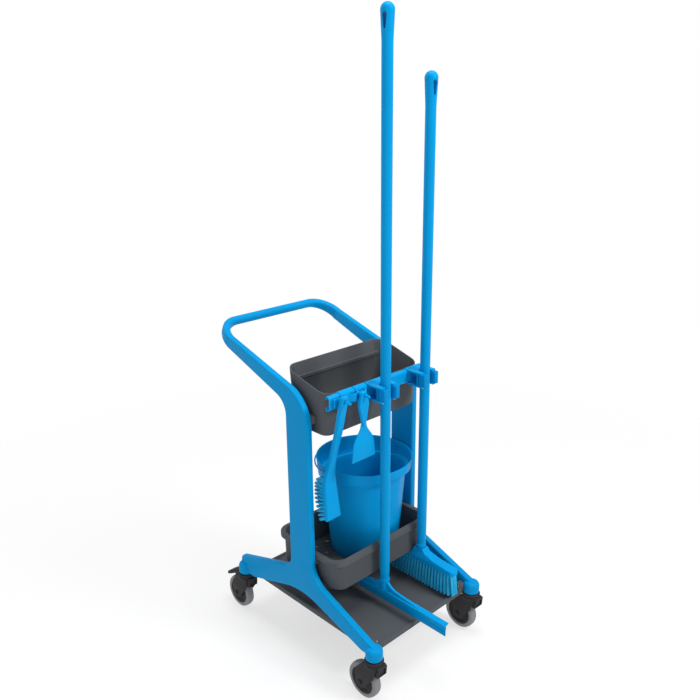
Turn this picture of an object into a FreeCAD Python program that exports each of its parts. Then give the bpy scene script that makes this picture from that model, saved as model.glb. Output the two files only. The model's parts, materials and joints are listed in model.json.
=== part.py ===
import FreeCAD, Part
import math
import os

from FreeCAD import Vector

# Housekeeping cart, millimetres. +Z up, Z = 0 on the floor, X = 0 on the symmetry
# plane, -Y towards the tool rail (front), +Y towards the push handle (rear).
# The origin is the bottom centre of the whole object's box.

# ---- driving dimensions -------------------------------------------------
CASTER_X = 228.0           # swivel axes, under the middle of each side frame
CASTER_Y = 306.0
FRAME_T = 22.0             # thickness of a side frame
FRAME_OUT_X = CASTER_X + FRAME_T / 2
FRAME_IN_X = CASTER_X - FRAME_T / 2
FRAME_EDGE_R = 6.0         # rounding of the frame's edges
COLUMN_FRONT_Y = -47.0
COLUMN_REAR_Y = 50.0
ARM_TOP_END = (313.6, 992.1)       # (y, z) where the arm meets the handle
ARM_LOW_END = (326.4, 955.6)

HANDLE_D = 28.0
HANDLE_BEND_R = 76.0
HANDLE_BAR_Y = 394.5
HANDLE_BAR_Z = 1013.0

CUP_R = 26.0               # foot cup that holds a caster stem
CUP_BOTTOM_Z = 151.0
CUP_TOP_Z = 189.0
STEM_TOP_Z = 180.0

WHEEL_R = 56.5
TYRE_W = 28.0
TRAIL = 38.0               # wheel centre behind the swivel axis
RUN_CLEAR = 0.05           # radial running clearance of every bearing
PEDAL_Y = 34.0             # brake pedal axis behind the swivel axis
PEDAL_Z = 133.0
PEDAL_PIN_R = 3.0

TRAY_BOTTOM_Z = 150.0
TRAY_DECK_Z = 158.0
TRAY_RIM_Z = 163.0
TRAY_HALF_Y = 292.0

BASKET_FLOOR_Z = 264.0
BASKET_RIM_Z = 370.0
BIN_FLOOR_Z = 762.0
BIN_FRONT_Z = 894.0
BIN_REAR_Z = 945.0
BIN_FRONT_Y = -90.0        # at the height of the rear rim
BIN_REAR_Y = 88.0
BIN_HALF_X = 205.0
BIN_DRAFT = 10.0           # narrowing of each wall from the rear rim to the floor

RAIL_BACK_Y = -104.0
RAIL_FRONT_Y = -118.0
RAIL_Z = 881.5             # mid height of the tool rail
RAIL_H = 43.0
RAIL_HALF_X = 214.0

POLE_R = 15.5
POLE_Y = -158.5
TALL_POLE_X = -29.4
SHORT_POLE_X = 144.6
TALL_POLE_TOP_Z = 1922.0
SHORT_POLE_TOP_Z = 1763.0
SQUEEGEE_LEN = 500.0
BROOM_LEN = 292.0
BROOM_HALF_W = 17.5

BUCKET_X = 53.0
BUCKET_Y = 14.5
BUCKET_Z = 267.0
BUCKET_H = 328.0

SCREW_R = 2.4
SCREW_HOLE_R = 2.5
LUG_Y = TRAY_HALF_Y - 12.0
LUG_SCREW_Z = 171.0
LUG_TOP_Z = 180.0
LUG_SEAT_X = 192.0

X_AXIS = Vector(1, 0, 0)
Y_AXIS = Vector(0, 1, 0)
Z_AXIS = Vector(0, 0, 1)


# ---- small geometry helpers ---------------------------------------------
def on_yz(x):
    return lambda u, v: Vector(x, u, v)


def on_xz(y):
    return lambda u, v: Vector(u, y, v)


def on_xy(z):
    return lambda u, v: Vector(u, v, z)


def outline(corners, place):
    """Closed wire through corners (u, v, radius); each corner is rounded by a tangent arc."""
    pts = [place(u, v) for u, v, _ in corners]
    edges = []
    ends = []
    for i, (_, _, r) in enumerate(corners):
        p = pts[i]
        a = (pts[i - 1] - p).normalize()
        b = (pts[(i + 1) % len(pts)] - p).normalize()
        if r <= 0:
            ends.append((p, None, p))
            continue
        half = a.getAngle(b) / 2
        reach = r / math.tan(half)
        inward = (a + b).normalize()
        mid = p + inward * (r / math.sin(half) - r)
        ends.append((p + a * reach, mid, p + b * reach))
    for i, (start, mid, end) in enumerate(ends):
        if mid is not None:
            edges.append(Part.Arc(start, mid, end).toShape())
        nxt = ends[(i + 1) % len(ends)][0]
        if end.distanceToPoint(nxt) > 1e-6:
            edges.append(Part.makeLine(end, nxt))
    return Part.Wire(edges)


def prism(corners, place, along):
    return Part.Face(outline(corners, place)).extrude(along)


def box(x0, x1, y0, y1, z0, z1):
    return Part.makeBox(x1 - x0, y1 - y0, z1 - z0, Vector(x0, y0, z0))


def rod(r, start, axis, length):
    return Part.makeCylinder(r, length, start, axis)


def turned(profile, centre):
    """Solid of revolution about a vertical axis; profile is a list of (r, z)."""
    pts = [centre + Vector(r, 0, z) for r, z in profile]
    wire = Part.makePolygon(pts + [pts[0]])
    return Part.Face(wire).revolve(centre, Z_AXIS, 360)


def fuse(shapes):
    return shapes[0].fuse(shapes[1:]).removeSplitter() if len(shapes) > 1 else shapes[0]


def rect_corners(x0, x1, y0, y1, r):
    return [(x0, y0, r), (x1, y0, r), (x1, y1, r), (x0, y1, r)]


def tub(low, high, z_low, z_high):
    """Drafted solid between two rounded rectangles (x0, x1, y0, y1, r)."""
    wires = [outline(rect_corners(*low), on_xy(z_low)), outline(rect_corners(*high), on_xy(z_high))]
    return Part.makeLoft(wires, True, True)


def inset(rect, t):
    x0, x1, y0, y1, r = rect
    return (x0 + t, x1 - t, y0 + t, y1 - t, max(r - t, 1.0))


def rounded(shape, radius, keep):
    edges = [e for e in shape.Edges if keep(e)]
    return shape.makeFillet(radius, edges) if edges else shape


def mirrored(shape):
    return shape.mirror(Vector(0, 0, 0), X_AXIS)


def save(name, solid):
    if solid.ShapeType == "Compound" and len(solid.Solids) == 1:
        solid = solid.Solids[0]
    solid.exportStep("parts/" + name + ".step")


# ---- side frames and handle ---------------------------------------------
def arch_and_legs():
    """Outline corners (y, z, radius) from the front leg's tip round to the rear leg's tip."""
    return [
        (-326.0, 185.0, 8.0),
        (-326.0, 156.0, 3.0),
        (-262.0, 156.0, 20.0),
        (5.0, 236.0, 260.0),
        (252.0, 156.0, 20.0),
        (330.0, 156.0, 3.0),
        (316.0, 213.0, 10.0),
    ]


def foot_cup(y):
    cup = rod(CUP_R, Vector(-CASTER_X, y, CUP_BOTTOM_Z), Z_AXIS, CUP_TOP_Z - CUP_BOTTOM_Z)
    cup = rounded(cup, 14.0, lambda e: e.BoundBox.ZMin > CUP_TOP_Z - 1e-6)
    return rounded(cup, 4.0, lambda e: e.BoundBox.ZMax < CUP_BOTTOM_Z + 1e-6)


def side_frame_left():
    """Column with an arm towards the handle and two legs that end in foot cups."""
    corners = [ARM_TOP_END + (0,), (COLUMN_FRONT_Y, 878.0, 120.0), (COLUMN_FRONT_Y, 292.0, 80.0)]
    corners += arch_and_legs()
    corners += [(COLUMN_REAR_Y, 297.0, 50.0), (COLUMN_REAR_Y, 850.0, 60.0), ARM_LOW_END + (0,)]
    plate = prism(corners, on_yz(-FRAME_OUT_X), X_AXIS * FRAME_T)

    def on_a_side_face(edge):
        limits = edge.BoundBox
        at_arm_end = limits.YMin > ARM_TOP_END[0] - 1.0 and limits.ZMin > ARM_LOW_END[1] - 1.0
        return limits.XLength < 1e-6 and not at_arm_end

    plate = rounded(plate, FRAME_EDGE_R, on_a_side_face)
    frame = plate.fuse([foot_cup(y) for y in (-CASTER_Y, CASTER_Y)])
    for hole in stem_holes() + screw_holes_in_frame():
        frame = frame.cut(hole)
    return frame


def stem_holes():
    depth = STEM_TOP_Z + 1.0 - CUP_BOTTOM_Z
    return [rod(5.5, Vector(-CASTER_X, y, CUP_BOTTOM_Z - 1.0), Z_AXIS, depth + 1.0)
            for y in (-CASTER_Y, CASTER_Y)]


def screw_holes_in_frame():
    """Blind holes in the inner face for the bracket screws and the tray screws."""
    places = [(y, (z0 + z1) / 2) for z0, z1 in (BIN_BRACKET_Z, BASKET_BRACKET_Z) for y in SCREW_YS]
    places += [(-LUG_Y, LUG_SCREW_Z), (LUG_Y, LUG_SCREW_Z)]
    return [rod(SCREW_HOLE_R, Vector(-FRAME_IN_X - 15.0, y, z), X_AXIS, 16.0) for y, z in places]


def rounded_section(half_w, half_h, r, at, u_dir, v_dir):
    """Rounded rectangle wire in the plane (u_dir, v_dir), centred at the point."""
    corners = [(-half_w, -half_h, r), (half_w, -half_h, r), (half_w, half_h, r), (-half_w, half_h, r)]
    return outline(corners, lambda u, v: at + u_dir * u + v_dir * v)


def handle_bar():
    """Round bar with two bends that run out into the flat section of the arms."""
    top = Vector(0, *ARM_TOP_END)
    low = Vector(0, *ARM_LOW_END)
    arm_mid = (top + low) * 0.5
    arm_half_h = (top - low).Length / 2
    arm_normal = (top - low).normalize()
    bar_mid = Vector(0, HANDLE_BAR_Y, HANDLE_BAR_Z)
    reach = bar_mid - arm_mid
    bar_normal = X_AXIS.cross(reach).normalize()
    r = HANDLE_D / 2
    sections = []
    steps = 6
    for i in range(steps + 1):
        part = i / steps
        angle = math.radians(90.0 * part)
        x = -CASTER_X + HANDLE_BEND_R * (1 - math.cos(angle))
        at = arm_mid + reach * math.sin(angle) + X_AXIS * x
        normal = (arm_normal * max(1 - 2 * part, 0) + bar_normal * min(2 * part, 1)).normalize()
        along = reach * math.cos(angle) + X_AXIS * (HANDLE_BEND_R * math.sin(angle))
        across = normal.cross(along).normalize() * -1
        normal = across.cross(along).normalize()
        half_w = FRAME_T / 2 + (r - FRAME_T / 2) * part
        half_h = arm_half_h + (r - arm_half_h) * part
        corner_r = FRAME_EDGE_R + (r - 0.5 - FRAME_EDGE_R) * part
        if i == 0:
            normal = arm_normal
        sections.append(rounded_section(half_w, half_h, corner_r, at, across, normal))
    bend = Part.makeLoft(sections, True, False)
    bar = Part.Face(sections[-1]).extrude(X_AXIS * (2 * (CASTER_X - HANDLE_BEND_R)))
    return fuse([bend, bar, mirrored(bend)])


# ---- casters --------------------------------------------------------------
def caster_stem(x, y):
    flange = turned([(0, 147.5), (20, 147.5), (20, CUP_BOTTOM_Z), (5.45, CUP_BOTTOM_Z),
                     (5.45, STEM_TOP_Z), (0, STEM_TOP_Z)], Vector(x, y, 0))
    kingpin = rod(7.0, Vector(x, y, 128.0), Z_AXIS, 20.0)
    return fuse([flange, kingpin])


def swivel_race(x, y):
    centre = Vector(x, y, 0)
    return turned([(7.05, 140.0), (13.0, 140.0), (13.0, 147.0), (7.05, 147.0)], centre)


def fork_cheek(x_in, thick, y):
    """One side plate of the fork, from the head down to the axle boss."""
    cy = y + TRAIL
    corners = [
        (y - 27.0, 134.0, 3.0),
        (y - 14.0, 92.0, 16.0),
        (cy - 16.0, WHEEL_R - 15.0, 14.0),
        (cy + 16.0, WHEEL_R - 15.0, 14.0),
        (cy + 20.0, 96.0, 20.0),
        (y + 27.0, 134.0, 3.0),
    ]
    return prism(corners, on_yz(x_in), X_AXIS * thick)


def caster_fork(x, y, braked):
    """Fork with a grooved round head; the rear ones carry ears for a brake pedal."""
    head_profile = [(0, 126), (27, 126), (29, 130), (29, 139), (27.5, 140), (27.5, 141.5), (29, 142.5),
                    (29, 146.5), (26.5, 149), (22, 149.5), (22, 147), (13.05, 147), (13.05, 139.9),
                    (0, 139.9)]
    head = turned(head_profile, Vector(x, y, 0))
    cheeks = [fork_cheek(x - 23.0, 5.5, y), fork_cheek(x + 17.5, 5.5, y)]
    nose = prism([(y - 36.0, 138.0, 3.0), (y - 33.0, 106.0, 3.0), (y - 18.0, 104.0, 3.0),
                  (y - 18.0, 138.0, 0)],
                 on_yz(x - 17.0), X_AXIS * 34.0)
    crown = box(x - 23.0, x + 23.0, y - 24.0, y + 24.0, 122.0, 134.0)
    ears = []
    if braked:
        for x_ear in (x - 19.0, x + 15.0):
            ears.append(box(x_ear, x_ear + 4.0, y + 18.0, y + 42.0, 126.0, 140.0))
    fork = fuse([head] + cheeks + [nose, crown] + ears)
    pocket = box(x - 13.0, x + 13.0, y - 40.0, y - 29.0, 108.0, 131.0)
    bore = rod(7.05, Vector(x, y, 120.0), Z_AXIS, 40.0)
    wheel_room = rod(WHEEL_R + 4.0, Vector(x - 17.4, y + TRAIL, WHEEL_R), X_AXIS, 34.8)
    axle_hole = rod(4.0, Vector(x - 30.0, y + TRAIL, WHEEL_R), X_AXIS, 60.0)
    pedal_pin_hole = rod(PEDAL_PIN_R + RUN_CLEAR, Vector(x - 30.0, y + PEDAL_Y, PEDAL_Z), X_AXIS, 60.0)
    pedal_room = rod(8.5, Vector(x - 14.95, y + PEDAL_Y, PEDAL_Z), X_AXIS, 29.9)
    cutters = [pocket, bore, wheel_room, axle_hole]
    if braked:
        cutters += [pedal_pin_hole, pedal_room]
    for cutter in cutters:
        fork = fork.cut(cutter)
    return fork


def wheel_axle(x, y):
    cy = y + TRAIL
    shaft = rod(3.95, Vector(x - 23.0, cy, WHEEL_R), X_AXIS, 46.0)
    heads = [rod(7.5, Vector(x - 26.0, cy, WHEEL_R), X_AXIS, 3.0),
             rod(7.5, Vector(x + 23.0, cy, WHEEL_R), X_AXIS, 3.0)]
    return fuse([shaft] + heads)


def spun(profile, centre):
    """Solid of revolution about a wheel axis; profile is a list of (x, r)."""
    pts = [centre + Vector(px, 0, r) for px, r in profile]
    wire = Part.makePolygon(pts + [pts[0]])
    return Part.Face(wire).revolve(centre, X_AXIS, 360)


def wheel_hub(x, y):
    right = [(15.5, 4.0), (15.5, 11.0), (11.0, 13.0), (9.5, 30.0), (12.0, 33.0), (13.0, 42.0)]
    left = [(-px, r) for px, r in reversed(right)]
    return spun(right + left, Vector(x, y + TRAIL, WHEEL_R))


def tyre(x, y):
    centre = Vector(x, y + TRAIL, WHEEL_R)
    ring = spun([(-13.0, 42.0), (13.0, 42.0), (TYRE_W / 2, 44.5), (TYRE_W / 2, 50.5), (11.5, 54.5),
                 (6.0, 56.2), (0, WHEEL_R), (-6.0, 56.2), (-11.5, 54.5), (-TYRE_W / 2, 50.5),
                 (-TYRE_W / 2, 44.5)], centre)
    return ring


def brake_pedal(x, y):
    """Foot paddle on a barrel whose end pins turn in the ears of a rear fork."""
    axis_at = Vector(x, y + PEDAL_Y, PEDAL_Z)
    barrel = rod(8.0, axis_at - X_AXIS * 14.9, X_AXIS, 29.8)
    pins = rod(PEDAL_PIN_R, axis_at - X_AXIS * 19.0, X_AXIS, 38.0)
    side = [(PEDAL_Y, PEDAL_Z + 7.0, 0), (PEDAL_Y, PEDAL_Z - 6.0, 0), (PEDAL_Y + 12.0, PEDAL_Z - 6.0, 6.0),
            (96.0, 102.0, 2.0), (98.0, 110.0, 3.0), (58.0, 137.0, 20.0)]
    blade = prism([(y + v, z, r) for v, z, r in side], on_yz(x - 20.0), X_AXIS * 40.0)
    plan = [(x - 14.9, y, 0), (x + 14.9, y, 0), (x + 14.9, y + 60.0, 5.0), (x + 18.0, y + 70.0, 8.0),
            (x + 17.0, y + 99.0, 12.0), (x - 17.0, y + 99.0, 12.0), (x - 18.0, y + 70.0, 8.0),
            (x - 14.9, y + 60.0, 5.0)]
    blade = blade.common(prism(plan, on_xy(90.0), Z_AXIS * 60.0))
    return fuse([barrel, pins, blade])


# ---- base tray --------------------------------------------------------------
def tray_lug(sx, sy):
    """Corner lug that rises beside a foot cup and is screwed to the leg."""
    outer_x = FRAME_IN_X - 0.1
    corners = [(176.0, TRAY_DECK_Z, 0), (outer_x, TRAY_DECK_Z, 0), (outer_x, LUG_TOP_Z, 4.0),
               (196.0, LUG_TOP_Z, 6.0)]
    lug = prism(corners, on_xz(-12.0), Y_AXIS * 24.0)
    lug = lug.cut(rod(SCREW_HOLE_R, Vector(160.0, 0, LUG_SCREW_Z), X_AXIS, 60.0))
    lug = lug.cut(rod(5.0, Vector(150.0, 0, LUG_SCREW_Z), X_AXIS, LUG_SEAT_X - 150.0))
    if sx < 0:
        lug = mirrored(lug)
    lug.translate(Vector(0, sy * LUG_Y, 0))
    return lug.cut(rod(CUP_R + 0.1, Vector(sx * CASTER_X, sy * CASTER_Y, 140.0), Z_AXIS, 80.0))


def base_tray():
    half_x = FRAME_IN_X - 1.0
    rect = (-half_x, half_x, -TRAY_HALF_Y, TRAY_HALF_Y, 6.0)
    tray = tub(rect, inset(rect, 3.0), TRAY_BOTTOM_Z, TRAY_RIM_Z)
    pan = tub(inset(rect, 14.0), inset(rect, 9.0), TRAY_DECK_Z, TRAY_RIM_Z + 1.0)
    tray = tray.cut(pan)
    for y in (-CASTER_Y, CASTER_Y):
        for x in (-CASTER_X, CASTER_X):
            tray = tray.cut(rod(CUP_R + 0.3, Vector(x, y, 140.0), Z_AXIS, 40.0))
    lugs = [tray_lug(sx, sy) for sx in (-1, 1) for sy in (-1, 1)]
    return fuse([tray] + lugs)


def pan_head_screw(seat, out, length, head_r):
    """Screw whose head sits on the point seat and whose shank runs along out."""
    return rod(head_r, seat - out * 3.0, out, 3.0).fuse(rod(SCREW_R, seat, out, length))


def tray_screws():
    screws = []
    for sx in (-1, 1):
        for sy in (-1, 1):
            seat = Vector(sx * LUG_SEAT_X, sy * LUG_Y, LUG_SCREW_Z)
            screws.append(pan_head_screw(seat, X_AXIS * sx, 38.0, 4.5))
    return Part.makeCompound(screws)


# ---- basket and bin -----------------------------------------------------------
BASKET_TOP = (-203.0, 203.0, -127.0, 147.0, 42.0)
BASKET_LOW = (-201.0, 201.0, -130.0, 144.0, 40.0)
DRAIN_XS = (-170.0, -123.0, -76.0, -29.0, 18.0, 65.0, 112.0, 159.0)
BIN_TOP = (-BIN_HALF_X, BIN_HALF_X, BIN_FRONT_Y, BIN_REAR_Y, 39.0)


def basket_outer():
    """Outside of the basket: a near-vertical tub with a bevelled band along the front."""
    outer = tub(BASKET_LOW, BASKET_TOP, BASKET_FLOOR_Z, BASKET_RIM_Z)
    low_edges = [e for e in outer.Edges if e.BoundBox.ZMax < BASKET_FLOOR_Z + 1e-6]
    outer = outer.makeChamfer(5.0, low_edges)
    x0, x1, y0, y1, r = BASKET_TOP
    band = tub((x0, x1, y0 - 7.0, y1, r), BASKET_TOP, BASKET_RIM_Z - 22.0, BASKET_RIM_Z)
    return outer.fuse(band)


def lower_basket():
    """Basket with a lip on the sides and rear and drain holes in the floor."""
    wall = 3.0
    x0, x1, y0, y1, r = BASKET_TOP
    lip = (x0 - 13.0, x1 + 13.0, y0, y1 + 10.0, r + 10.0)
    rim = prism(rect_corners(*lip), on_xy(BASKET_RIM_Z - 4.0), Z_AXIS * 4.0)
    skirt = prism(rect_corners(*lip), on_xy(BASKET_RIM_Z - 12.0), Z_AXIS * 12.0)
    skirt = skirt.cut(prism(rect_corners(*inset(lip, 2.5)), on_xy(BASKET_RIM_Z - 13.0), Z_AXIS * 14.0))
    inner = tub(inset(BASKET_LOW, wall), inset(BASKET_TOP, wall), BASKET_FLOOR_Z + wall, BASKET_RIM_Z + 0.001)
    basket = fuse([basket_outer(), rim, skirt]).cut(inner)
    for x in DRAIN_XS:
        for y in (-84.0, 62.0, 112.0):
            basket = basket.cut(rod(6.0, Vector(x, y, BASKET_FLOOR_Z - 1), Z_AXIS, 6.0))
    return basket


BIN_LOW = inset(BIN_TOP, BIN_DRAFT)


def bin_outer():
    return tub(BIN_LOW, BIN_TOP, BIN_FLOOR_Z, BIN_REAR_Z)


def bin_front_y(z):
    """Outer front face of the drafted bin at height z."""
    return BIN_FRONT_Y + BIN_DRAFT * (BIN_REAR_Z - z) / (BIN_REAR_Z - BIN_FLOOR_Z)


def above_bin_rim():
    """Everything above the sloping rim of the bin."""
    slope = (BIN_REAR_Z - BIN_FRONT_Z) / (BIN_REAR_Y - BIN_FRONT_Y)
    y0 = BIN_FRONT_Y - 20.0
    y1 = BIN_REAR_Y + 20.0
    corners = [(y0, BIN_FRONT_Z - 20.0 * slope, 0), (y1, BIN_REAR_Z + 20.0 * slope, 0),
               (y1, 1100.0, 0), (y0, 1100.0, 0)]
    return prism(corners, on_yz(-300.0), X_AXIS * 600.0)


def top_bin():
    wall = 3.0
    outer = bin_outer()
    low_edges = [e for e in outer.Edges if e.BoundBox.ZMax < BIN_FLOOR_Z + 1e-6]
    outer = outer.makeChamfer(6.0, low_edges)
    inner = tub(inset(BIN_LOW, wall), inset(BIN_TOP, wall), BIN_FLOOR_Z + wall, BIN_REAR_Z)
    shell = outer.cut(inner).cut(above_bin_rim())
    ledge_top_z = BIN_REAR_Z - 42.0
    ledge = box(-BIN_HALF_X, BIN_HALF_X, BIN_REAR_Y - 13.0, BIN_REAR_Y, ledge_top_z - 9.0, ledge_top_z)
    body = fuse([shell, ledge.common(outer)])
    for x in RAIL_MOUNT_XS:
        body = body.cut(rod(SCREW_HOLE_R, Vector(x, RAIL_SEAT_Y - 12.0, RAIL_SCREW_Z), Y_AXIS, 24.0))
    return body


BRACKET_YS = (-44.0, 46.0)
BRACKET_SEAT_X = FRAME_IN_X - 10.0
BIN_BRACKET_Z = (800.0, 822.0)
BASKET_BRACKET_Z = (334.0, 357.5)
SCREW_YS = (-23.0, 25.0)


def column_bracket(z_range, outer):
    """Dark spacer between a column's inner face and the side of a container."""
    z0, z1 = z_range
    block = box(-FRAME_IN_X, -188.0, *BRACKET_YS, z0, z1).cut(outer)
    block = min(block.Solids, key=lambda s: s.BoundBox.XMin)
    for y in SCREW_YS:
        seat = Vector(-BRACKET_SEAT_X, y, (z0 + z1) / 2)
        block = block.cut(rod(SCREW_HOLE_R, seat - X_AXIS * 20.0, X_AXIS, 40.0))
        block = block.cut(rod(5.0, seat, X_AXIS, 40.0))
    return block


def bracket_screws():
    screws = []
    for z0, z1 in (BIN_BRACKET_Z, BASKET_BRACKET_Z):
        for sx in (-1, 1):
            for y in SCREW_YS:
                seat = Vector(sx * BRACKET_SEAT_X, y, (z0 + z1) / 2)
                screws.append(pan_head_screw(seat, X_AXIS * sx, 24.0, 4.5))
    return Part.makeCompound(screws)


# ---- tool rail and its clips ----------------------------------------------------
RAIL_WALL = 2.5


def rail_outline(grow):
    """Rail profile (y, z): flat back, rounded shoulders in front."""
    z0 = RAIL_Z - RAIL_H / 2 - grow
    z1 = RAIL_Z + RAIL_H / 2 + grow
    y0 = RAIL_FRONT_Y - grow
    y1 = RAIL_BACK_Y + grow
    return [(y0, z0, 9.0 + grow), (y1, z0, 1.0), (y1, z1, 1.0), (y0, z1, 9.0 + grow)]


def rail_prism(grow, x0, x1):
    return prism(rail_outline(grow), on_yz(x0), X_AXIS * (x1 - x0))


def tool_rail():
    """C section, open to the back between two lips."""
    past = RAIL_HALF_X + 1
    rail = rail_prism(0, -RAIL_HALF_X, RAIL_HALF_X).cut(rail_prism(-RAIL_WALL, -past, past))
    slot = box(-past, past, RAIL_BACK_Y - 4.0, RAIL_BACK_Y + 2.0, RAIL_Z - 12.0, RAIL_Z + 12.0)
    return rail.cut(slot)


RAIL_MOUNT_XS = (-150.0, 150.0)
RAIL_SCREW_Z = RAIL_Z - 4.0
RAIL_SEAT_Y = bin_front_y(RAIL_SCREW_Z) + 3.5


def rail_mounts():
    """Spacers that carry the rail in front of the bin, one solid each."""
    blocks = []
    for x in RAIL_MOUNT_XS:
        web = box(x - 16.0, x + 16.0, RAIL_BACK_Y - 8.0, RAIL_SEAT_Y, RAIL_Z - 11.5, RAIL_Z + 8.0)
        key = box(x - 16.0, x + 16.0, RAIL_BACK_Y - 8.0, RAIL_BACK_Y - 2.6, RAIL_Z - 15.0, RAIL_Z + 15.0)
        block = fuse([web, key]).cut(bin_outer())
        block = min(block.Solids, key=lambda s: s.BoundBox.YMin)
        block = block.cut(rod(SCREW_HOLE_R, Vector(x, RAIL_BACK_Y - 20.0, RAIL_SCREW_Z), Y_AXIS, 60.0))
        blocks.append(block)
    return Part.makeCompound(blocks)


def rail_screws():
    """Screws that run from inside the bin through its front wall into the spacers."""
    length = RAIL_SEAT_Y - RAIL_BACK_Y + 7.0
    return Part.makeCompound([pan_head_screw(Vector(x, RAIL_SEAT_Y, RAIL_SCREW_Z), -Y_AXIS, length, 5.0)
                              for x in RAIL_MOUNT_XS])


def clip_sleeve(x0, x1):
    """Sleeve that wraps the front, top and bottom of the rail, with a lip behind each edge."""
    sleeve = rail_prism(2.2, x0, x1).cut(rail_prism(0.05, x0 - 1, x1 + 1))
    return sleeve.cut(box(x0 - 1, x1 + 1, RAIL_BACK_Y - 1.0, RAIL_BACK_Y + 9.0, RAIL_Z - 17.0, RAIL_Z + 17.0))


GRIP_HALF_X = 34.5
GRIP_TOP_Z = RAIL_Z + 22.5
GRIP_LOW_Z = RAIL_Z - 24.0
JAW_IN = POLE_R + 0.4              # inner face of a jaw from the pole's axis
JAW_OUT = 33.0
JAW_FRONT_Y = POLE_Y - 27.0
JAW_PIN_X = 24.5
JAW_PIN_Y = POLE_Y - 12.0


def pole_grip(pole_x):
    """Housing that clips on the rail: two plates reach round the pole and hold the jaw pins."""
    solids = [clip_sleeve(pole_x - GRIP_HALF_X, pole_x + GRIP_HALF_X)]
    reach_y = RAIL_FRONT_Y - 0.6
    right = [(12.0, POLE_Y + 17.0, 8.0), (17.0, POLE_Y, 0), (17.0, JAW_PIN_Y - 3.0, 2.0),
             (26.0, JAW_PIN_Y - 7.0, 6.0), (GRIP_HALF_X, JAW_PIN_Y, 8.0), (GRIP_HALF_X, reach_y, 0)]
    plan = [(pole_x - u, y, r) for u, y, r in reversed(right)] + [(pole_x + u, y, r) for u, y, r in right]
    for z0 in (GRIP_LOW_Z, GRIP_TOP_Z - 5.0):
        solids.append(prism(plan, on_xy(z0), Z_AXIS * 5.0))
    for side in (-1, 1):
        x0, x1 = sorted((pole_x + side * (JAW_IN + 0.6), pole_x + side * (GRIP_HALF_X - 0.5)))
        solids.append(box(x0, x1, POLE_Y + 0.5, POLE_Y + 3.5, GRIP_LOW_Z + 2.0, GRIP_TOP_Z - 2.0))
    grip = fuse(solids)
    for side in (-1, 1):
        grip = grip.cut(rod(2.55, Vector(pole_x + side * JAW_PIN_X, JAW_PIN_Y, RAIL_Z - 40.0), Z_AXIS, 80.0))
    return grip


def grip_jaws(pole_x):
    """Two rubber blocks that flank the pole between the plates."""
    jaws = []
    for side in (-1, 1):
        x0, x1 = sorted((pole_x + side * JAW_IN, pole_x + side * JAW_OUT))
        z0 = GRIP_LOW_Z + 5.1
        height = GRIP_TOP_Z - 5.1 - z0
        jaw = prism(rect_corners(x0, x1, JAW_FRONT_Y, POLE_Y, 5.0), on_xy(z0), Z_AXIS * height)
        jaws.append(jaw.cut(rod(2.55, Vector(pole_x + side * JAW_PIN_X, JAW_PIN_Y, z0 - 1), Z_AXIS, 80.0)))
    return Part.makeCompound(jaws)


def grip_pins():
    pins = []
    for pole_x in (TALL_POLE_X, SHORT_POLE_X):
        for side in (-1, 1):
            start = Vector(pole_x + side * JAW_PIN_X, JAW_PIN_Y, GRIP_LOW_Z - 3.0)
            pins.append(rod(2.5, start, Z_AXIS, GRIP_TOP_Z - 1.0 - GRIP_LOW_Z + 3.0))
    return Part.makeCompound(pins)


HOOK_Z = 890.0
BRUSH_X = -183.0
SCRAPER_X = -108.0
PEG_R = 4.0
PEG_END_Y = -169.0


def waved_bar(points, thick, z0, height):
    """Upright strip that follows a smooth wave in plan."""
    front = Part.BSplineCurve()
    front.interpolate([Vector(x, y, z0) for x, y in points])
    back = Part.BSplineCurve()
    back.interpolate([Vector(x, y + thick, z0) for x, y in points])
    ends = [Vector(points[i][0], points[i][1], z0) for i in (0, -1)]
    caps = [Part.makeLine(end, end + Y_AXIS * thick) for end in ends]
    wire = Part.Wire([front.toShape(), caps[1], back.toShape(), caps[0]])
    return Part.Face(wire).extrude(Z_AXIS * height)


def hook_clip():
    """Two sleeves joined by a waved front bar that carries two pegs for small tools."""
    z0 = RAIL_Z - 8.0
    height = 22.0
    wave = [(-205.0, -130.0), (-183.0, -127.0), (-166.0, -131.0), (-148.0, -124.5), (-128.0, -134.0),
            (-108.0, -129.0), (-90.0, -134.0), (-76.0, -128.0)]
    solids = [clip_sleeve(-172.0, -116.0), clip_sleeve(-113.0, -66.0), waved_bar(wave, 4.0, z0, height)]
    for x in (BRUSH_X, SCRAPER_X):
        base = Vector(x, -126.0, HOOK_Z)
        solids.append(rod(PEG_R, base, -Y_AXIS, base.y - PEG_END_Y))
        solids.append(Part.makeSphere(PEG_R, Vector(x, PEG_END_Y, HOOK_Z)))
    for x, y in ((-150.0, -123.0), (-110.0, -127.0), (-80.0, -127.0)):
        solids.append(box(x - 3.0, x + 3.0, y, RAIL_FRONT_Y - 0.6, z0, z0 + height))
    return fuse(solids)


# ---- poles, squeegee and broom ----------------------------------------------------
SPIGOT_R = 10.0
SPIGOT_LEN = 30.0
BULB_R = 19.0
SWAGE_R = 13.0             # pole's lower end, drawn in to meet the head's neck


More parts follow.
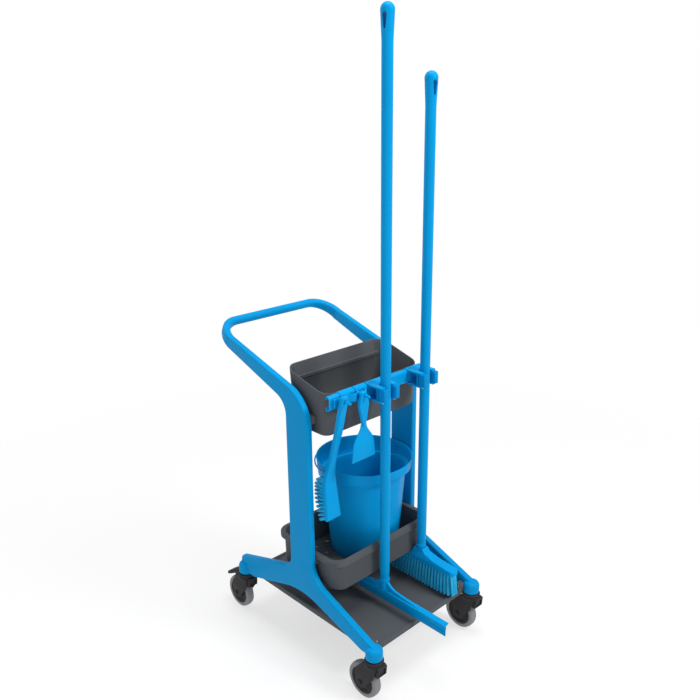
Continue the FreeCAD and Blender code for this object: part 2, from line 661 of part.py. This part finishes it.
def pole(x, z_low, z_top, hole_heading):
    """Tube with a spigot below and a bulb end; the hang hole runs at hole_heading degrees from +X."""
    bulb_z = z_top - BULB_R
    taper_z = z_top - 92.0
    spigot_r = SPIGOT_R - RUN_CLEAR

    def at(r, z):
        return Vector(x + r, POLE_Y, z)

    points = [at(0, z_low - SPIGOT_LEN), at(spigot_r, z_low - SPIGOT_LEN), at(spigot_r, z_low),
              at(SWAGE_R, z_low), at(SWAGE_R, z_low + 3.0), at(POLE_R, z_low + 24.0), at(POLE_R, taper_z),
              at(BULB_R, bulb_z)]
    edges = [Part.makeLine(a, b) for a, b in zip(points, points[1:])]
    on_bulb = BULB_R * math.sqrt(0.5)
    edges.append(Part.Arc(points[-1], at(on_bulb, bulb_z + on_bulb), at(0, z_top)).toShape())
    edges.append(Part.makeLine(at(0, z_top), points[0]))
    solid = Part.Face(Part.Wire(edges)).revolve(at(0, 0), Z_AXIS, 360)
    bore = rod(POLE_R - 1.7, at(0, z_low + 26.0), Z_AXIS, taper_z - 46.0 - z_low)
    spigot_bore = rod(8.0, at(0, z_low - SPIGOT_LEN - 1.0), Z_AXIS, SPIGOT_LEN + 28.0)
    hole = prism([(-7.5, z_top - 24.0, 6.2), (7.5, z_top - 24.0, 6.2), (2.5, z_top - 64.0, 2.0),
                  (-2.5, z_top - 64.0, 2.0)], on_xz(-40.0), Y_AXIS * 80.0)
    hole.rotate(Vector(0, 0, 0), Z_AXIS, hole_heading - 90.0)
    hole.translate(at(0, 0))
    return solid.cut(bore).cut(spigot_bore).cut(hole)


SQUEEGEE_NECK_Z = 255.0
SQUEEGEE_TOP_Z = 215.0
SQUEEGEE_TIP_Z = 174.0
BROOM_NECK_Z = 304.0
BROOM_BLOCK_Z = 246.0
BROOM_TIP_Z = 174.0


def neck_socket(x, z_low, z_top):
    """Neck of a head, with a collar at its mouth that the pole's end stands on."""
    neck = rod(SWAGE_R + 0.8, Vector(x, POLE_Y, z_low), Z_AXIS, z_top - z_low)
    return neck.fuse(rod(POLE_R + 0.5, Vector(x, POLE_Y, z_top - 9.0), Z_AXIS, 9.0))


def spigot_socket(x, z_top):
    return rod(SPIGOT_R, Vector(x, POLE_Y, z_top - SPIGOT_LEN - 1.0), Z_AXIS, 60.0)


def squeegee_head():
    """Flange with a web below it for the blade, a gusset above it and a neck for the pole."""
    y0 = POLE_Y - SQUEEGEE_LEN / 2
    x = TALL_POLE_X
    top = SQUEEGEE_TOP_Z
    section = [(x - 5.0, top - 19.0, 1.0), (x - 5.0, top - 7.0, 2.0), (x - 9.0, top - 5.0, 1.0),
               (x - 9.0, top - 2.0, 1.0), (x - 3.0, top, 1.5), (x + 11.0, top, 1.5),
               (x + 11.0, top - 5.0, 1.5), (x + 1.0, top - 6.0, 1.5), (x + 1.0, top - 19.0, 1.0)]
    bar = prism(section, on_xz(y0), Y_AXIS * SQUEEGEE_LEN)
    gusset = prism([(POLE_Y - 170.0, top - 2.0, 0), (POLE_Y + 170.0, top - 2.0, 0),
                    (POLE_Y + 28.0, top + 12.0, 60.0), (POLE_Y + 12.0, top + 32.0, 0),
                    (POLE_Y - 12.0, top + 32.0, 0), (POLE_Y - 28.0, top + 12.0, 60.0)],
                   on_yz(x - 4.0), X_AXIS * 8.0)
    head = fuse([bar, gusset, neck_socket(x, top - 1.0, SQUEEGEE_NECK_Z)])
    return head.cut(spigot_socket(x, SQUEEGEE_NECK_Z)).cut(squeegee_blade())


def squeegee_blade():
    """Rubber blade held in the web of the head."""
    x = TALL_POLE_X - 2.0
    seat_z = SQUEEGEE_TOP_Z - 11.0
    corners = [(x - 1.5, seat_z, 0), (x - 1.2, SQUEEGEE_TIP_Z, 0), (x + 1.2, SQUEEGEE_TIP_Z, 0),
               (x + 1.5, seat_z, 0)]
    return prism(corners, on_xz(POLE_Y - SQUEEGEE_LEN / 2), Y_AXIS * SQUEEGEE_LEN)


def broom_block():
    x = SHORT_POLE_X
    half = BROOM_LEN / 2
    side = [(-half, 0.0, 4.0), (half, 0.0, 4.0), (half, 14.0, 6.0), (30.0, 15.5, 12.0), (17.0, 44.0, 4.0),
            (-17.0, 44.0, 4.0), (-26.0, 32.0, 12.0), (-62.0, 22.0, 60.0), (-half, 15.0, 6.0)]
    side = [(POLE_Y + u, BROOM_BLOCK_Z + v, r) for u, v, r in side]
    wide = BROOM_HALF_W
    block = prism(side, on_yz(x - wide), X_AXIS * 2 * wide)
    plan = prism(rect_corners(x - wide, x + wide, POLE_Y - half, POLE_Y + half, 15.0),
                 on_xy(200.0), Z_AXIS * 140.0)
    waist = prism([(x - wide, 200.0, 0), (x + wide, 200.0, 0), (x + wide, BROOM_BLOCK_Z + 14.0, 10.0),
                   (x + 14.0, BROOM_BLOCK_Z + 36.0, 20.0), (x + 14.0, 330.0, 0), (x - 14.0, 330.0, 0),
                   (x - 14.0, BROOM_BLOCK_Z + 36.0, 20.0), (x - wide, BROOM_BLOCK_Z + 14.0, 10.0)],
                  on_xz(POLE_Y - half - 5), Y_AXIS * (BROOM_LEN + 10))
    block = block.common(plan).common(waist)
    neck = neck_socket(x, BROOM_BLOCK_Z + 20.0, BROOM_NECK_Z)
    return fuse([block, neck]).cut(spigot_socket(x, BROOM_NECK_Z))


def broom_bristles():
    x = SHORT_POLE_X
    half = BROOM_LEN / 2
    low = (x - 24.0, x + 24.0, POLE_Y - half - 1.0, POLE_Y + half + 1.0, 12.0)
    high = (x - 14.0, x + 14.0, POLE_Y - half + 6.0, POLE_Y + half - 6.0, 10.0)
    return tub(low, high, BROOM_TIP_Z, BROOM_BLOCK_Z)


# ---- small tools on the pegs --------------------------------------------------------
def hand_brush():
    """Brush body: handle hung on its peg, curving back to a block that widens downwards."""
    side = [(-153.0, 907.0, 5.0), (-140.0, 907.0, 5.0), (-113.0, 789.0, 200.0), (-93.0, 721.0, 200.0),
            (-72.0, 645.0, 60.0), (-69.0, 600.0, 60.0), (-83.0, 498.0, 4.0), (-97.0, 500.0, 6.0),
            (-83.0, 612.0, 60.0), (-85.0, 645.0, 60.0), (-106.0, 721.0, 200.0), (-126.0, 789.0, 200.0)]
    x = BRUSH_X
    body = prism(side, on_yz(x - 40.0), X_AXIS * 80.0)
    right = [(12.0, 907.0, 10.0), (10.0, 690.0, 80.0), (21.0, 616.0, 90.0), (27.0, 495.0, 9.0)]
    front = [(x + u, z, r) for u, z, r in right] + [(x - u, z, r) for u, z, r in reversed(right)]
    face = prism(front, on_xz(-180.0), Y_AXIS * 130.0)
    brush = body.common(face)
    return brush.cut(rod(PEG_R + 1.5, Vector(x, -200.0, HOOK_Z), Y_AXIS, 80.0))


def hand_brush_bristles():
    """Envelope of the bristles, standing on the rear face of the brush block."""
    x = BRUSH_X
    side = [(-80.0, 622.0, 0), (-92.0, 507.0, 0), (-52.0, 483.0, 4.0), (-31.0, 540.0, 60.0),
            (-37.0, 608.0, 4.0)]
    return prism(side, on_yz(x - 20.0), X_AXIS * 40.0).cut(hand_brush())


def hand_scraper():
    """Thin bell-shaped blade that runs up into a thicker waisted handle."""
    x = SCRAPER_X
    y = -146.0
    right = [(9.0, 901.0, 8.0), (20.0, 862.0, 25.0), (8.0, 808.0, 40.0), (13.0, 788.0, 30.0),
             (40.0, 750.0, 50.0), (47.0, 690.0, 0)]
    whole = [(x + u, z, r) for u, z, r in right] + [(x - u, z, r) for u, z, r in reversed(right)]
    blade = prism(whole, on_xz(y - 1.5), Y_AXIS * 3.0)
    grip = [(x + u, z, r) for u, z, r in right[:3]] + [(x, 776.0, 6.0)]
    grip += [(x - u, z, r) for u, z, r in reversed(right[:3])]
    handle = prism(grip, on_xz(y - 6.0), Y_AXIS * 12.0)
    handle = rounded(handle, 3.5, lambda e: e.BoundBox.YLength < 1e-6)
    return blade.fuse(handle).cut(rod(PEG_R + 1.0, Vector(x, y - 20.0, HOOK_Z), Y_AXIS, 40.0))


# ---- bucket ---------------------------------------------------------------------------
BUCKET_RIM_R = 156.0
BUCKET_WAIST_R = 136.0
BUCKET_FOOT_R = 112.0
PIVOT_Z = BUCKET_Z + BUCKET_H - 16.0
BAIL_R = 160.0


def bucket_solid(shrink, step_rise):
    """Tapered body with a wider collar whose lower edge slopes down to the rear."""
    base = Vector(BUCKET_X, BUCKET_Y, BUCKET_Z + shrink)
    body = Part.makeCone(BUCKET_FOOT_R - shrink, BUCKET_WAIST_R + 3.0 - shrink, BUCKET_H - shrink, base)
    collar_low = BUCKET_Z + BUCKET_H - 85.0
    collar = Part.makeCone(BUCKET_RIM_R - 9.0 - shrink, BUCKET_RIM_R - shrink, 85.0,
                           Vector(BUCKET_X, BUCKET_Y, collar_low))
    z_front = BUCKET_Z + BUCKET_H - 30.0 + step_rise
    z_rear = BUCKET_Z + BUCKET_H - 66.0 + step_rise
    y0 = BUCKET_Y - 170.0
    y1 = BUCKET_Y + 170.0
    z_top = BUCKET_Z + BUCKET_H + 5.0
    keep = prism([(y0, z_front, 0), (y1, z_rear, 0), (y1, z_top, 0), (y0, z_top, 0)],
                 on_yz(BUCKET_X - 200.0), X_AXIS * 400.0)
    return fuse([body, collar.common(keep)])


def bucket():
    wall = 3.0
    outer = bucket_solid(0.0, 0.0)
    inner = bucket_solid(wall, wall)
    shell = outer.cut(inner)
    for side in (-1, 1):
        start = Vector(BUCKET_X + side * (BUCKET_RIM_R - 12.0), BUCKET_Y, PIVOT_Z)
        shell = shell.cut(rod(4.05, start, X_AXIS * side, 30.0))
    return shell


def bucket_bail():
    """Half-ring handle, resting behind the collar, with pins through the collar."""
    centre = Vector(BUCKET_X, BUCKET_Y, PIVOT_Z)
    ring = Part.makeTorus(BAIL_R, 2.5, centre, Z_AXIS)
    rear = box(BUCKET_X - 200.0, BUCKET_X + 200.0, BUCKET_Y, BUCKET_Y + 200.0, PIVOT_Z - 10.0, PIVOT_Z + 10.0)
    bail = ring.common(rear)
    pins = []
    for side in (-1, 1):
        pin_in = BUCKET_RIM_R - 7.0
        inner_end = Vector(BUCKET_X + side * pin_in, BUCKET_Y, PIVOT_Z)
        pin = rod(4.0, inner_end, X_AXIS * side, BAIL_R + 2.0 - pin_in)
        stud = rod(6.0, inner_end - X_AXIS * side * 2.5, X_AXIS * side, 2.5)
        pins += [pin, stud]
    return fuse([bail] + pins)


CORNERS = {
    "front_left": (-CASTER_X, -CASTER_Y),
    "front_right": (CASTER_X, -CASTER_Y),
    "rear_left": (-CASTER_X, CASTER_Y),
    "rear_right": (CASTER_X, CASTER_Y),
}


def main():
    os.makedirs("parts", exist_ok=True)
    left = side_frame_left()
    save("left_side_frame", left)
    save("right_side_frame", mirrored(left))
    save("handle_bar", handle_bar())
    save("base_tray", base_tray())
    save("tray_screws", tray_screws())
    save("lower_basket", lower_basket())
    save("top_bin", top_bin())
    bin_bracket = column_bracket(BIN_BRACKET_Z, bin_outer())
    basket_bracket = column_bracket(BASKET_BRACKET_Z, basket_outer())
    save("bin_bracket_left", bin_bracket)
    save("bin_bracket_right", mirrored(bin_bracket))
    save("basket_bracket_left", basket_bracket)
    save("basket_bracket_right", mirrored(basket_bracket))
    save("bracket_screws", bracket_screws())
    save("tool_rail", tool_rail())
    save("rail_mounts", rail_mounts())
    save("rail_screws", rail_screws())
    save("hook_clip", hook_clip())
    save("pole_grip_tall", pole_grip(TALL_POLE_X))
    save("pole_grip_short", pole_grip(SHORT_POLE_X))
    save("grip_jaws_tall", grip_jaws(TALL_POLE_X))
    save("grip_jaws_short", grip_jaws(SHORT_POLE_X))
    save("grip_pins", grip_pins())
    save("tall_pole", pole(TALL_POLE_X, SQUEEGEE_NECK_Z, TALL_POLE_TOP_Z, 15.0))
    save("squeegee_head", squeegee_head())
    save("squeegee_blade", squeegee_blade())
    save("short_pole", pole(SHORT_POLE_X, BROOM_NECK_Z, SHORT_POLE_TOP_Z, 80.0))
    save("broom_block", broom_block())
    save("broom_bristles", broom_bristles())
    save("hand_brush", hand_brush())
    save("hand_brush_bristles", hand_brush_bristles())
    save("hand_scraper", hand_scraper())
    save("bucket", bucket())
    save("bucket_bail", bucket_bail())
    stems = [caster_stem(x, y) for x, y in CORNERS.values()]
    save("caster_stems", Part.makeCompound(stems))
    races = [swivel_race(x, y) for x, y in CORNERS.values()]
    save("swivel_bearings", Part.makeCompound(races))
    for corner, (x, y) in CORNERS.items():
        braked = corner.startswith("rear")
        save("caster_fork_" + corner, caster_fork(x, y, braked))
        if braked:
            save("brake_pedal_" + corner, brake_pedal(x, y))
        save("wheel_axle_" + corner, wheel_axle(x, y))
        save("wheel_hub_" + corner, wheel_hub(x, y))
        save("tyre_" + corner, tyre(x, y))


main()
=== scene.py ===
import json
import math
import random

import bpy
from mathutils import Matrix, Vector


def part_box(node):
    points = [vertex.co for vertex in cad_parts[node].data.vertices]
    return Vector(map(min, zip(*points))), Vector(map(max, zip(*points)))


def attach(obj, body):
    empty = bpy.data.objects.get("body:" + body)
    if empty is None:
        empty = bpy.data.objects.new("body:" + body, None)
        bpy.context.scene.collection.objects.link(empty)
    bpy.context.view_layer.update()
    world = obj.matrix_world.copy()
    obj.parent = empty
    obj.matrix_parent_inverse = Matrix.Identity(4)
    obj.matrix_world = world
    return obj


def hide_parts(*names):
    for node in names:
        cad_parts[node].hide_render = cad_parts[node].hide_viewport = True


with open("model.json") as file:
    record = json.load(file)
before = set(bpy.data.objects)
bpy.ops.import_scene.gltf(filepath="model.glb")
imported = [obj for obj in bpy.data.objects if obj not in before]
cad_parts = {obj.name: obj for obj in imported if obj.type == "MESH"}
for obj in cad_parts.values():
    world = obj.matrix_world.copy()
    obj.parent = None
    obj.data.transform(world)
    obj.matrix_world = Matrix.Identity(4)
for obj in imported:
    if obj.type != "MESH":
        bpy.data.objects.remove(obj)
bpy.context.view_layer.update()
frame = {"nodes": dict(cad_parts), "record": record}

random.seed(7)
NODES = frame["nodes"]
SLOT_OF = {part["node"]: part["material_slot"] for part in frame["record"]["subparts"]}
CORNERS = ("front_left", "front_right", "rear_left", "rear_right")


# ---- materials ---------------------------------------------------------------
def linear(red, green, blue):
    """Linear colour from display values 0 to 255."""
    def channel(v):
        v /= 255.0
        return v / 12.92 if v <= 0.04045 else ((v + 0.055) / 1.055) ** 2.4
    return channel(red), channel(green), channel(blue), 1.0


PLASTIC_SPECULAR = 0.05
METAL_SPECULAR = 0.5
BUMP_DEPTH = 0.0004
MOTTLE_SCALE = 7.0
GLOSS_SPREAD = 0.04


def surface(name, color, roughness, grain=900.0, bump=0.05, metallic=0.0, mottle=0.06):
    """Moulded or rolled surface: fine bump from noise, colour and gloss that vary a little."""
    mat = bpy.data.materials.new(name)
    mat.use_nodes = True
    tree = mat.node_tree
    bsdf = tree.nodes["Principled BSDF"]
    bsdf.inputs["Metallic"].default_value = metallic
    bsdf.inputs["Specular IOR Level"].default_value = METAL_SPECULAR if metallic else PLASTIC_SPECULAR
    coords = tree.nodes.new("ShaderNodeTexCoord")

    fine = tree.nodes.new("ShaderNodeTexNoise")
    fine.inputs["Scale"].default_value = grain
    fine.inputs["Detail"].default_value = 3.0
    tree.links.new(coords.outputs["Object"], fine.inputs["Vector"])
    relief = tree.nodes.new("ShaderNodeBump")
    relief.inputs["Strength"].default_value = bump
    relief.inputs["Distance"].default_value = BUMP_DEPTH
    tree.links.new(fine.outputs["Fac"], relief.inputs["Height"])
    tree.links.new(relief.outputs["Normal"], bsdf.inputs["Normal"])

    broad = tree.nodes.new("ShaderNodeTexNoise")
    broad.inputs["Scale"].default_value = MOTTLE_SCALE
    tree.links.new(coords.outputs["Object"], broad.inputs["Vector"])
    tint = tree.nodes.new("ShaderNodeValToRGB")
    tint.color_ramp.elements[0].color = [c * (1.0 - mottle) for c in color[:3]] + [1.0]
    tint.color_ramp.elements[1].color = [min(1.0, c * (1.0 + mottle)) for c in color[:3]] + [1.0]
    tree.links.new(broad.outputs["Fac"], tint.inputs["Fac"])
    tree.links.new(tint.outputs["Color"], bsdf.inputs["Base Color"])
    gloss = tree.nodes.new("ShaderNodeMapRange")
    gloss.inputs["To Min"].default_value = roughness - GLOSS_SPREAD
    gloss.inputs["To Max"].default_value = roughness + GLOSS_SPREAD
    tree.links.new(broad.outputs["Fac"], gloss.inputs["Value"])
    tree.links.new(gloss.outputs["Result"], bsdf.inputs["Roughness"])
    return mat


MATERIALS = {
    "frame_blue": surface("frame_blue", linear(2, 141, 202), 0.42, grain=1400.0, bump=0.03),
    "pole_blue": surface("pole_blue", linear(2, 146, 208), 0.34, grain=500.0, bump=0.03),
    "tool_blue": surface("tool_blue", linear(3, 150, 214), 0.4, grain=1100.0, bump=0.04),
    "bristle_blue": surface("bristle_blue", linear(62, 204, 255), 0.5, grain=300.0, bump=0.02, mottle=0.2),
    "jaw_rubber": surface("jaw_rubber", linear(3, 132, 196), 0.62, grain=700.0, bump=0.08),
    "blade_rubber": surface("blade_rubber", linear(3, 136, 200), 0.6, grain=700.0, bump=0.06),
    "dark_plastic": surface("dark_plastic", linear(84, 87, 90), 0.5, grain=1500.0, bump=0.12),
    "caster_plastic": surface("caster_plastic", linear(52, 52, 54), 0.45, grain=1200.0, bump=0.06),
    "grey_tyre": surface("grey_tyre", linear(134, 135, 137), 0.66, grain=800.0, bump=0.1),
    "steel": surface("steel", linear(196, 198, 202), 0.3, grain=600.0, bump=0.03, metallic=1.0),
}
SOFT_EDGE = {
    "frame_blue": 0.0016, "tool_blue": 0.0007, "dark_plastic": 0.0012, "caster_plastic": 0.0008,
    "jaw_rubber": 0.0008, "blade_rubber": 0.0004, "grey_tyre": 0.0008, "steel": 0.0003,
}
NO_BEVEL = {"squeegee_head", "hook_clip", "bucket_bail"}
BEVEL_ANGLE = math.radians(50.0)
SPLIT_ANGLE = math.radians(32.0)
WELD_DISTANCE = 0.00002
# Pieces shown in another slot than the one the record gives them, steel.
PAINTED = {"bucket_bail": "tool_blue"}
PAINTED.update({"wheel_axle_" + corner: "caster_plastic" for corner in CORNERS})


def clear_normals(mesh):
    if "custom_normal" in mesh.attributes:
        mesh.attributes.remove(mesh.attributes["custom_normal"])


def finish_node(name, node):
    """Gives a CAD node its slot's material, and small rounded edges where the slot asks for them."""
    slot = PAINTED.get(name, SLOT_OF[name])
    node.data.materials.clear()
    node.data.materials.append(MATERIALS[slot])
    clear_normals(node.data)
    for polygon in node.data.polygons:
        polygon.use_smooth = True
    weld = node.modifiers.new("weld", "WELD")
    weld.merge_threshold = WELD_DISTANCE
    if slot in SOFT_EDGE and name not in NO_BEVEL:
        bevel = node.modifiers.new("soft_edge", "BEVEL")
        bevel.width = SOFT_EDGE[slot]
        bevel.segments = 2
        bevel.limit_method = "ANGLE"
        bevel.angle_limit = BEVEL_ANGLE
        bevel.use_clamp_overlap = True
        bevel.harden_normals = False
    split = node.modifiers.new("crisp_edges", "EDGE_SPLIT")
    split.split_angle = SPLIT_ANGLE


for node_name, node_object in NODES.items():
    finish_node(node_name, node_object)


# ---- bristles ------------------------------------------------------------------
FILAMENT_R = 0.0009
FILAMENT_RINGS = 4
FILAMENT_TAPER = 0.35
TIP_JITTER = 0.0006
GOLDEN_ANGLE = 2.39996


def mesh_piece(name, verts, faces, slot, body):
    mesh = bpy.data.meshes.new(name)
    mesh.from_pydata(verts, [], faces)
    mesh.update()
    piece = bpy.data.objects.new(name, mesh)
    bpy.context.scene.collection.objects.link(piece)
    mesh.materials.append(MATERIALS[slot])
    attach(piece, body)
    return piece


def add_filament(verts, faces, root, tip, sag):
    """Three-sided bristle from root to tip, bowed by the vector sag at mid length."""
    along = (tip - root).normalized()
    side = along.orthogonal().normalized()
    other = along.cross(side)
    first = len(verts)
    rings = FILAMENT_RINGS
    for i in range(rings):
        t = i / (rings - 1)
        centre = root.lerp(tip, t) + sag * (4.0 * t * (1.0 - t))
        r = FILAMENT_R * (1.0 - FILAMENT_TAPER * t)
        for k in range(3):
            angle = math.tau * k / 3
            verts.append(centre + (side * math.cos(angle) + other * math.sin(angle)) * r)
    for i in range(rings - 1):
        for k in range(3):
            a = first + 3 * i + k
            b = first + 3 * i + (k + 1) % 3
            faces.append((a, b, b + 3, a + 3))
    faces.append((first + 2, first + 1, first))
    end = first + 3 * (rings - 1)
    faces.append((end, end + 1, end + 2))


def add_tuft(verts, faces, root, tip, root_radius, tip_radius, count):
    """Bundle of filaments that spreads from root_radius to tip_radius."""
    along = (tip - root).normalized()
    side = along.orthogonal().normalized()
    other = along.cross(side)
    for i in range(count):
        angle = i * GOLDEN_ANGLE
        share = math.sqrt((i + 0.5) / count)
        out = (side * math.cos(angle) + other * math.sin(angle)) * share
        jitter = Vector([random.uniform(-1.0, 1.0) for _ in range(3)]) * TIP_JITTER
        sag = out * random.uniform(-0.0006, 0.0010)
        add_filament(verts, faces, root + out * root_radius, tip + out * tip_radius + jitter, sag)


def broom_bristles():
    """Straight tufts in rows under the broom block, spreading to the sides and the ends."""
    low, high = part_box("broom_bristles")
    centre = (low + high) / 2
    rows = 5
    per_row = 23
    root_half_x, tip_half_x = 0.0115, high.x - centre.x - 0.0035
    root_half_y, tip_half_y = high.y - centre.y - 0.012, high.y - centre.y - 0.0045
    verts, faces = [], []
    for row in range(rows):
        across = row / (rows - 1) * 2.0 - 1.0
        for i in range(per_row):
            along = i / (per_row - 1) * 2.0 - 1.0
            shorten = 0.012 * abs(along) ** 8 * across ** 2
            root = Vector((centre.x + across * root_half_x, centre.y + along * root_half_y, high.z + 0.002))
            tip_x = centre.x + across * (tip_half_x - shorten)
            tip = Vector((tip_x, centre.y + along * tip_half_y, low.z + TIP_JITTER))
            add_tuft(verts, faces, root, tip, 0.0022, 0.0036, 26)
    piece = mesh_piece("broom_filaments", verts, faces, "bristle_blue", "broom")
    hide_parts("broom_bristles")


def hand_brush_bristles():
    """Tufts on the rear face of the hand brush, the end rows leaning outwards."""
    low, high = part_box("hand_brush_bristles")
    centre_x = (low.x + high.x) / 2
    top_root = Vector((centre_x, low.y + 0.0061, high.z - 0.0068))
    low_root = Vector((centre_x, low.y - 0.0054, low.z + 0.0251))
    rows = 11
    columns = 5
    verts, faces = [], []
    for row in range(rows):
        t = row / (rows - 1)
        root_line = top_root.lerp(low_root, t)
        lean = math.radians(8.0 - 38.0 * t ** 1.5)
        reach = 0.040 + 0.008 * math.sin(math.pi * t)
        for column in range(columns):
            share = column / (columns - 1) * 2.0 - 1.0
            width = 0.016 if row else 0.012
            root = root_line + Vector((share * width, 0, 0))
            tip = root + Vector((share * 0.003, math.cos(lean) * reach, math.sin(lean) * reach))
            add_tuft(verts, faces, root, tip, 0.0030, 0.0042, 24)
    piece = mesh_piece("hand_brush_filaments", verts, faces, "bristle_blue", "dusting_brush")
    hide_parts("hand_brush_bristles")


broom_bristles()
hand_brush_bristles()


# ---- moulded rings on the wheel hubs ------------------------------------------------
RING_THICK = 0.0010
HUB_RINGS = ((0.0375, 0.0124), (0.0215, 0.0101))     # radius, distance from the hub's middle plane


def add_ring(verts, faces, centre, radius):
    """Ring of round section about the X axis."""
    first = len(verts)
    around = 72
    section = 8
    for i in range(around):
        turn = math.tau * i / around
        for k in range(section):
            angle = math.tau * k / section
            r = radius + RING_THICK * math.cos(angle)
            out = RING_THICK * math.sin(angle)
            verts.append(centre + Vector((out, r * math.cos(turn), r * math.sin(turn))))
    for i in range(around):
        for k in range(section):
            a = first + i * section + k
            b = first + i * section + (k + 1) % section
            c = first + ((i + 1) % around) * section + (k + 1) % section
            d = first + ((i + 1) % around) * section + k
            faces.append((a, d, c, b))


def hub_rings(corner):
    """Two raised rings on each face of one wheel hub."""
    low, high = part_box("wheel_hub_" + corner)
    centre = (low + high) / 2
    verts, faces = [], []
    for side in (-1, 1):
        for radius, face_x in HUB_RINGS:
            add_ring(verts, faces, centre + Vector((side * face_x, 0, 0)), radius)
    piece = mesh_piece("hub_rings_" + corner, verts, faces, "caster_plastic", "wheel_" + corner)
    for polygon in piece.data.polygons:
        polygon.use_smooth = True


for wheel_corner in CORNERS:
    hub_rings(wheel_corner)


# ---- stage, light and camera ------------------------------------------------------
FLOOR_R = 60.0
FLOOR_WHITE = (0.9, 0.9, 0.9, 1.0)
GLOW_AT_CART = 0.6
FULL_GLOW_AT = 2.6


def floor():
    """White floor that turns evenly bright away from the cart, so that it meets the background."""
    bpy.ops.mesh.primitive_circle_add(vertices=96, radius=FLOOR_R, fill_type="NGON", location=(0, 0, 0))
    disc = bpy.context.object
    disc.name = "floor"
    mat = bpy.data.materials.new("floor")
    mat.use_nodes = True
    tree = mat.node_tree
    tree.nodes["Principled BSDF"].inputs["Base Color"].default_value = FLOOR_WHITE
    tree.nodes["Principled BSDF"].inputs["Roughness"].default_value = 0.9
    glow = tree.nodes.new("ShaderNodeEmission")
    coords = tree.nodes.new("ShaderNodeTexCoord")
    distance = tree.nodes.new("ShaderNodeVectorMath")
    distance.operation = "LENGTH"
    share = tree.nodes.new("ShaderNodeMapRange")
    share.inputs["From Min"].default_value = 0.0
    share.inputs["From Max"].default_value = FULL_GLOW_AT
    share.inputs["To Min"].default_value = GLOW_AT_CART
    mix = tree.nodes.new("ShaderNodeMixShader")
    tree.links.new(coords.outputs["Object"], distance.inputs[0])
    tree.links.new(distance.outputs["Value"], share.inputs["Value"])
    tree.links.new(share.outputs["Result"], mix.inputs["Fac"])
    tree.links.new(tree.nodes["Principled BSDF"].outputs["BSDF"], mix.inputs[1])
    tree.links.new(glow.outputs["Emission"], mix.inputs[2])
    tree.links.new(mix.outputs["Shader"], tree.nodes["Material Output"].inputs["Surface"])
    disc.data.materials.append(mat)


def area_light(name, place, target, size, power):
    data = bpy.data.lights.new(name, "AREA")
    data.shape = "DISK"
    data.size = size
    data.energy = power
    light = bpy.data.objects.new(name, data)
    light.location = place
    light.rotation_euler = (Vector(target) - Vector(place)).to_track_quat("-Z", "Y").to_euler()
    bpy.context.scene.collection.objects.link(light)


def world_light(strength):
    """White behind the object, and an even light of the given strength on it."""
    world = bpy.data.worlds.new("studio")
    world.use_nodes = True
    tree = world.node_tree
    background = tree.nodes["Background"]
    background.inputs["Color"].default_value = (1.0, 1.0, 1.0, 1.0)
    path = tree.nodes.new("ShaderNodeLightPath")
    level = tree.nodes.new("ShaderNodeMapRange")
    level.inputs["To Min"].default_value = strength
    tree.links.new(path.outputs["Is Camera Ray"], level.inputs["Value"])
    tree.links.new(level.outputs["Result"], background.inputs["Strength"])
    bpy.context.scene.world = world


CAMERA_PLACE = (-1.5474, -1.5936, 1.6874)
CAMERA_LENS = 39.54
SENSOR_WIDTH = 36.0
HEADING = math.radians(-43.8)
DROP = math.radians(17.98)
ROLL = math.radians(-0.57)


def camera():
    """Looks down at the front left of the cart."""
    data = bpy.data.cameras.new("camera")
    data.lens = CAMERA_LENS
    data.sensor_width = SENSOR_WIDTH
    camera_object = bpy.data.objects.new("camera", data)
    turn = Matrix.Rotation(HEADING, 4, "Z") @ Matrix.Rotation(math.pi / 2 - DROP, 4, "X")
    place = Matrix.Translation(CAMERA_PLACE)
    camera_object.matrix_world = place @ turn @ Matrix.Rotation(ROLL, 4, "Z")
    bpy.context.scene.collection.objects.link(camera_object)
    bpy.context.scene.camera = camera_object


floor()
world_light(0.4)
area_light("key", (1.0, -3.0, 3.4), (0, 0, 0.8), 1.2, 88.0)
area_light("fill", (-3.6, -1.6, 1.4), (0, 0, 0.5), 2.6, 20.0)
area_light("top", (0.2, -0.2, 4.4), (0, 0, 0.6), 2.0, 90.0)
area_light("back", (-0.6, 3.2, 3.0), (0, 0, 0.9), 2.0, 26.0)
camera()
bpy.context.scene.view_settings.view_transform = "Standard"
